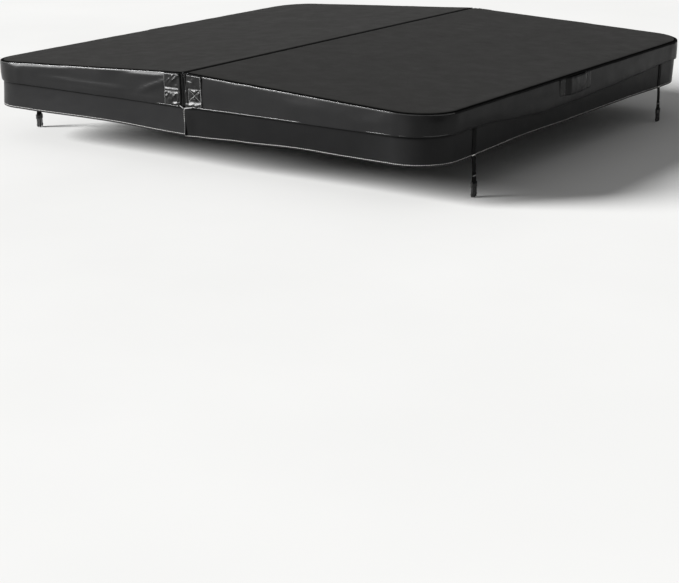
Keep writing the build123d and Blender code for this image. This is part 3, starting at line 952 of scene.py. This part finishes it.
def patch_surface(half, x, z, end):
    """How far a patch stands out from the end face."""
    seed = SEED[half] + end
    puff = 1.0 - math.exp(-((from_stitching(half, x, z) / (5 * MM)) ** 2))
    border = min(x - inner_edge(half, z), patch_high.x - x, z - patch_low.z, top_height(x) - PATCH_GAP - z)
    roll = smooth(-0.5 * MM, 3.5 * MM, border)
    rough = 1.7 * MM * wave(x, z, end, 0.020, seed) + 1.2 * MM * wave(x * 0.5, z, end, 0.011, seed + 2)
    rough *= 1 - 0.5 * smooth(60 * MM, 90 * MM, z)
    folds = folds_at(PATCH_FOLDS[half], x, z)
    return 0.8 * MM + (1.8 * MM + 3.0 * MM * puff + 1.5 * rough * (0.3 + 0.7 * puff) + folds) * roll


def make_patches(half):
    """One sewn patch beside the fold on each end face, with its stitching."""
    seams = []
    for end_name, end in ENDS.items():
        def surface(x, z, proud=0.0):
            return Vector((x, end * (HALF_ALONG + patch_surface(half, x, z, end) + proud), z))

        def place(across, up):
            z = patch_low.z + (top_height(patch_high.x) - PATCH_GAP - patch_low.z) * up
            inner = inner_edge(half, z)
            x = inner + (patch_high.x - inner) * across
            return surface(x, z + (patch_high.x - x) * TAPER * up)

        bm = grid(steps(0, 1, 1 / 44), steps(0, 1, 1 / 58), place)
        face_away(bm, MIDDLE)
        patch = half_piece(bm, half, f"{end_name}_patch", "vinyl_patch", "end_patches", HEAVY_VINYL)

        # Painted shade: darkened beside the stitching and along the patch's edges, standing in for shadow in the
        # stitch grooves and the gap round the patch.
        def patch_painted_shade(x, y, z):
            border = min(patch_high.x - x, z - patch_low.z, x - inner_edge(half, z))
            beside_seam = math.exp(-(((from_stitching(half, x, z) - 2.6 * MM) / (1.6 * MM)) ** 2))
            return min(1.0, 0.75 * beside_seam + 0.85 * (1 - smooth(0, 3.5 * MM, border)))

        shaded(patch, half, patch_painted_shade)
        above = 0.5 * MM
        for a, b in SEWN[half]:
            seams.append(along_line(lambda t: surface(*(Vector(a).lerp(Vector(b), t) * MM), above), 0, 1, 60))
        seams.append(along_line(lambda z: surface(patch_high.x - 3 * MM, z, above),
                                patch_low.z + 3 * MM, top_height(patch_high.x) - 7 * MM, 60))
    stitch_lines(half, "patch_thread", "thread_grey", seams, 4.2 * MM, 0.9 * MM, 1.0 * MM)


# ---- fold web and end gussets ----
def make_fold_web():
    """Vinyl strip joining the two top panels, sagging a little into the fold."""
    edge_z = top_height(HINGE_FACE) - FOLD_ROLL + 1.0 * MM
    half_width = HINGE_FACE + 1.0 * MM

    def place(x, y):
        share = 1 - (x / half_width) ** 2
        dip = (8.5 + 2.0 * wave(y, 0, 0, 0.12, 5.0)) * MM
        return Vector((x, y, edge_z - dip * share + 0.5 * MM * wave(x * 3, y, 0, 0.03, 6.0) * share))

    bm = grid(steps(-half_width, half_width, 1.5 * MM), steps(-HALF_ALONG + 2 * MM, HALF_ALONG - 2 * MM, 8 * MM),
              place)
    face_away(bm, Vector((0, 0, -1)))
    web = piece(bm, "fold_web", "vinyl_hinge", 1.5 * MM)
    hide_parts("fold_hinge_web")
    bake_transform(web)


def make_gusset(end_name, end):
    """Bellows of loose vinyl that closes one end of the fold."""
    low, high = gusset_low.z, gusset_high.z - 2 * MM
    half_width = HINGE_FACE - 0.6 * MM
    deep = 34 * MM

    def place(x, z):
        share = abs(x) / half_width
        pleats = 0.5 - 0.5 * math.cos(share * math.pi * 2)
        inward = (2.2 * MM + deep * pleats * (0.75 + 0.25 * wave(x, z, end, 0.05, 4.0))) * (1 - share ** 6)
        inward += 3.4 * MM * wave(x * 3, z, end, 0.022, 8.0) * (1 - share ** 4)
        drift = 3.0 * MM * wave(0, z, end, 0.03, 3.0) * (1 - share)
        return Vector((x + drift, end * (HALF_ALONG - 1.5 * MM - max(inward, 0.0)), z))

    bm = grid(steps(-half_width, half_width, 0.5 * MM), steps(low, high, 3 * MM), place)
    face_away(bm, Vector((0, 0, FOLD_HEIGHT / 2)))
    # Painted light: this vinyl is lighter than the rest of the cover.
    gusset = piece(bm, f"{end_name}_gusset", "vinyl_gusset", 0.8 * MM)
    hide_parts(f"{end_name}_end_gusset")
    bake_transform(gusset)


# ---- steam seal ----
def seal_roll(name, slot_name, node, shrink):
    """Flat padded roll, pinched shut at both ends."""
    width = (seal_high.x - seal_low.x) / 2 - shrink
    height = (seal_high.z - seal_low.z) / 2 - shrink
    middle_x = (seal_high.x + seal_low.x) / 2
    middle_z = (seal_high.z + seal_low.z) / 2
    length = seal_high.y - shrink * 4

    def place(turn, y):
        thin = max(1 - (abs(y) / length) ** 120, 0.0) ** 0.5
        slack = 1 - 0.06 * (0.5 + 0.5 * wave(0, y, turn, 0.05, 7.0))
        cross, rise = math.sin(turn), math.cos(turn)
        x = math.copysign(abs(cross) ** 0.55, cross) * width * thin * slack
        z = math.copysign(abs(rise) ** 0.85, rise) * height * (0.9 + 0.1 * thin)
        return Vector((middle_x + x, y, middle_z + z))

    near_end = [length * share for share in (0.97, 0.98, 0.987, 0.992, 0.995, 0.9975, 0.999, 1.0)]
    rows = joined(mirrored(near_end), steps(-near_end[0], near_end[0], 12 * MM), near_end)
    bm = grid(steps(0, 2 * math.pi, math.pi / 18), rows, place)
    recalculated(bm)
    roll = dressed(piece(bm, name, slot_name), slot_name, "rear_half", node)


# ---- lift handles ----
def make_handle(half):
    """Wide soft handle: two sewn ends and a standing middle with creases where it bends."""
    side, seed = SIDES[half], SEED[half]
    middle = side * (handle_low.y + handle_high.y) / 2
    reach = (handle_high.y - handle_low.y) / 2
    sewn, end_row = 38 * MM, 6 * MM
    stand = handle_high.x - HALF_ACROSS - 2.4 * MM
    low, high = handle_low.z, handle_high.z

    def surface(y, z, proud=0.0):
        from_end = reach - abs(y)
        lift = stand * smooth(sewn - 4 * MM, sewn + 34 * MM, from_end)
        lift *= 0.82 + 0.18 * math.sin(math.pi * (z - low) / (high - low))
        rolled = 2.2 * MM * smooth(-1 * MM, 4 * MM, min(z - low, high - z, from_end))
        crumple = 1.6 * MM * wave(y, z * 0.4, side, 0.03, seed) * smooth(sewn, sewn + 12 * MM, from_end)
        crumple += 0.7 * MM * wave(y, z, side, 0.014, seed + 3)
        sew_line = math.exp(-(((from_end - end_row) / (1.6 * MM)) ** 2))
        sew_line += math.exp(-(((from_end - sewn) / (1.8 * MM)) ** 2))
        out = 2.0 * MM + lift + rolled + crumple * 0.6 - 1.3 * MM * sew_line
        return Vector((HALF_ACROSS + out + proud, middle + y, z))

    bm = grid(steps(-reach, reach, 2.5 * MM), steps(low, high, 2.2 * MM), surface)
    face_away(bm, Vector((0, 0, EDGE_HEIGHT / 2)))
    handle = half_piece(bm, half, "handle", "vinyl_handle", "lift_handle", 2.4 * MM)
    rows = [along_line(lambda z: surface(y, z, 0.4 * MM), low + 3 * MM, high - 3 * MM, 60)
            for y in (-reach + end_row, -reach + sewn, reach - sewn, reach - end_row)]
    stitch_lines(half, "handle_thread", "thread_grey", rows, 3.6 * MM, 1.4 * MM, 0.6 * MM)


# ---- tie-down straps ----
# The strap's way to the clip's bar and back from it: mm out from its plane and up from the bar.
TO_BAR = [(-0.6, 36), (-0.85, 32), (-0.85, 20), (-0.9, 12), (-1.5, 7.5), (-2.4, 4.2)]
FROM_BAR = [(2.4, 4.2), (1.5, 7.5), (0.95, 12), (0.9, 20), (0.9, 27), (1.1, 32)]


def make_strap(half, end_name, skirt):
    """Webbing from under the band, over the hem and round the clip's bar, with the clip."""
    tail_low, tail_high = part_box(f"front_{end_name}_strap_tail")
    middle_y = (tail_low.y + tail_high.y) / 2
    plane_x = (tail_low.x + tail_high.x) / 2
    half_web = (tail_high.y - tail_low.y) / 2
    loop_out = (tail_high.x - tail_low.x) / 2
    bar_z = tail_low.z + loop_out
    ply = straps_high.x - straps_low.x
    ring = loop_out - ply / 2
    station = skirt.rim.run + skirt.rim.arc + middle_y + HALF_ALONG - CORNER
    hem = skirt.hem(station)
    axis_z = joints[f"front_{end_name}_strap_swing"]["pos_m"][2]

    route = [(skirt.surface(station, z).x + 1.1 * MM, z) for z in steps(-1 * MM, hem, 5 * MM)]
    for z in steps(min(hem, axis_z) - 4 * MM, bar_z + 40 * MM, 5 * MM):
        route.append((plane_x + (route[-1][0] - plane_x) * 0.72, z))
    route += [(plane_x + x * MM, bar_z + z * MM) for x, z in TO_BAR]
    for turn in map(math.radians, steps(150, 390, 20)):
        route.append((plane_x + ring * math.cos(turn), bar_z + ring * math.sin(turn)))
    route += [(plane_x + x * MM, bar_z + z * MM) for x, z in FROM_BAR]

    def place(i, y):
        x, z = route[i]
        cup = 0.5 * MM * (abs(y) / half_web) ** 2 * smooth(hem, hem - 20 * MM, z)
        return Vector((x - cup, middle_y + y, z))

    bm = grid(range(len(route)), steps(-half_web + 0.4 * MM, half_web - 0.4 * MM, 4 * MM), place)
    face_away(bm, Vector((0, middle_y, bar_z)))
    across_the_fold(bm, half)
    webbing = piece(bm, f"{half}_{end_name}_webbing", "webbing", ply * 0.92, 0)
    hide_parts(f"{half}_strap_tops", f"{half}_{end_name}_strap_tail")
    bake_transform(webbing)
    tack_z = hem + 5 * MM
    bar_tack(half, f"{end_name}_hem_tack", "thread_light", half_web,
             Vector((skirt.surface(station, tack_z).x + 2.1 * MM, middle_y, tack_z)), f"{half}_half")
    bar_tack(half, f"{end_name}_tail_tack", "thread_grey", half_web,
             Vector((plane_x + 1.8 * MM, middle_y, bar_z + 24 * MM)), f"{half}_{end_name}_strap")
    softened(f"{half}_{end_name}_clip", f"{half}_{end_name}_side_release_clip", "clip_plastic",
             f"{half}_{end_name}_buckle", 0.7 * MM, 3)


def bar_tack(half, name, slot_name, half_web, middle, body):
    """Dense short stitches side by side across a strap."""
    bm = bmesh.new()
    for y in steps(-half_web + 2 * MM, half_web - 2 * MM, 1.35 * MM):
        add_bead(bm, Matrix.Translation(middle + Vector((0, y, 0))), (0.7 * MM, 0.75 * MM, 2.3 * MM))
    riding(bm, half, name, slot_name, body)


def softened(node, name, slot_name, body, width, segments):
    """A copy of a hard part with its edges rounded."""
    bm = bmesh.new()
    bm.from_mesh(frame["nodes"][node].data)
    recalculated(bm)
    bmesh.ops.dissolve_limit(bm, angle_limit=math.radians(4), verts=bm.verts, edges=bm.edges)
    sharp = [e for e in bm.edges if e.is_manifold and e.calc_face_angle() > math.radians(35)]
    round_edges(bm, sharp, width, segments, True)
    obj = piece(bm, name, slot_name)
    keep = obj.modifiers.new("normals", "WEIGHTED_NORMAL")
    keep.keep_sharp = True
    dressed(obj, slot_name, body, node)


# ---- bindings where the skirts meet ----
def make_bindings(half):
    """Short pale tapes that bind the skirt's upper corners at the fold."""
    bm = bmesh.new()
    start = Vector((2, 0, -5)) * MM
    finish = Vector((40, 0, 2) if half == "front" else (27, 0, 8)) * MM
    middle = (start + finish) / 2
    tilt = math.atan2(finish.z - start.z, finish.x - start.x)
    size = Matrix.Diagonal(((finish - start).length, 1.4 * MM, 3.4 * MM, 1))
    for end in ENDS.values():
        where = Matrix.Translation((middle.x, end * (HALF_ALONG + 1.6 * MM), middle.z))
        made = bmesh.ops.create_cube(bm, size=1, matrix=where @ Matrix.Rotation(-tilt, 4, "Y") @ size)
        round_edges(bm, list({e for v in made["verts"] for e in v.link_edges}), 0.6 * MM)
    riding(bm, half, "corner_binding", "thread_grey", f"{half}_half")


def finish_cad_parts(half):
    """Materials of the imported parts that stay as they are, and the zip's slider."""
    for node, slot_name in (("foam_core", "eps_foam"), ("vapour_wrap", "vapour_film"),
                            ("hinge_channel", "galvanised_steel")):
        obj = frame["nodes"][f"{half}_{node}"]
        obj.data.materials.clear()
        obj.data.materials.append(FINISH[slot_name])
    softened(f"{half}_zip_slider", f"{half}_zip_pull", "zip_metal", f"{half}_zip_slide", 0.35 * MM, 2)


# ---- camera, light and floor ----
def make_camera():
    camera = bpy.data.objects.new("camera", bpy.data.cameras.new("camera"))
    bpy.context.scene.collection.objects.link(camera)
    forward = Vector((-0.55669, 0.76924, -0.31365))
    up = Vector((-0.17481, 0.26063, 0.94948))
    right = forward.cross(up).normalized()
    up = right.cross(forward).normalized()
    turn = Matrix((right, up, -forward.normalized())).transposed().to_4x4()
    camera.matrix_world = Matrix.Translation((3.6406, -5.1048, 1.0790)) @ turn
    camera.data.sensor_width = 36
    camera.data.lens = 79.81
    camera.data.clip_end = 60
    bpy.context.scene.camera = camera


def make_studio():
    """Pale floor at the lowest point of the hanging clips, one broad even light from the left."""
    bm = bmesh.new()
    bmesh.ops.create_grid(bm, x_segments=1, y_segments=1, size=30)
    bmesh.ops.translate(bm, vec=(0, 0, cad_low.z - 0.5 * MM), verts=bm.verts)
    paint = Finish("floor_paint")
    colour = paint.ramp(paint.cloud(0.8, 4.0), (0.80, 0.80, 0.79), (0.84, 0.84, 0.83))
    paint.feed(paint.tree.nodes["Principled BSDF"], {"Base Color": colour, "Roughness": 0.9})
    FINISH["floor"] = paint.material
    piece(bm, "floor", "floor")
    world = bpy.data.worlds.new("studio")
    world.use_nodes = True
    background = world.node_tree.nodes["Background"].inputs
    background["Color"].default_value = (1, 1, 1, 1)
    background["Strength"].default_value = 0.22
    bpy.context.scene.world = world
    light = bpy.data.lights.new("key", "SUN")
    light.energy = 7.6
    light.angle = math.radians(22)
    sun = bpy.data.objects.new("key", light)
    bpy.context.scene.collection.objects.link(sun)
    sun.rotation_euler = Vector((-0.68, -0.61, 0.37)).to_track_quat("Z", "Y").to_euler()
    bpy.context.scene.view_settings.view_transform = "Standard"


# ---- assemble ----
for half in SIDES:
    make_top_panel(half)
    make_band(half)
    make_underside(half)
    make_fold_wall(half)
    make_zip(half)
    skirt = Skirt(half)
    make_skirt(half, skirt)
    make_patches(half)
    make_handle(half)
    make_bindings(half)
    for end_name in ENDS:
        make_strap(half, end_name, skirt)
make_fold_web()
for end_name, end in ENDS.items():
    make_gusset(end_name, end)
seal_roll("steam_seal_pad", "vinyl_hinge", "steam_seal_sleeve", 0.0)
seal_roll("steam_seal_core", "seal_foam", "steam_seal_foam", 0.9 * MM)
for half in SIDES:
    finish_cad_parts(half)

make_camera()
make_studio()
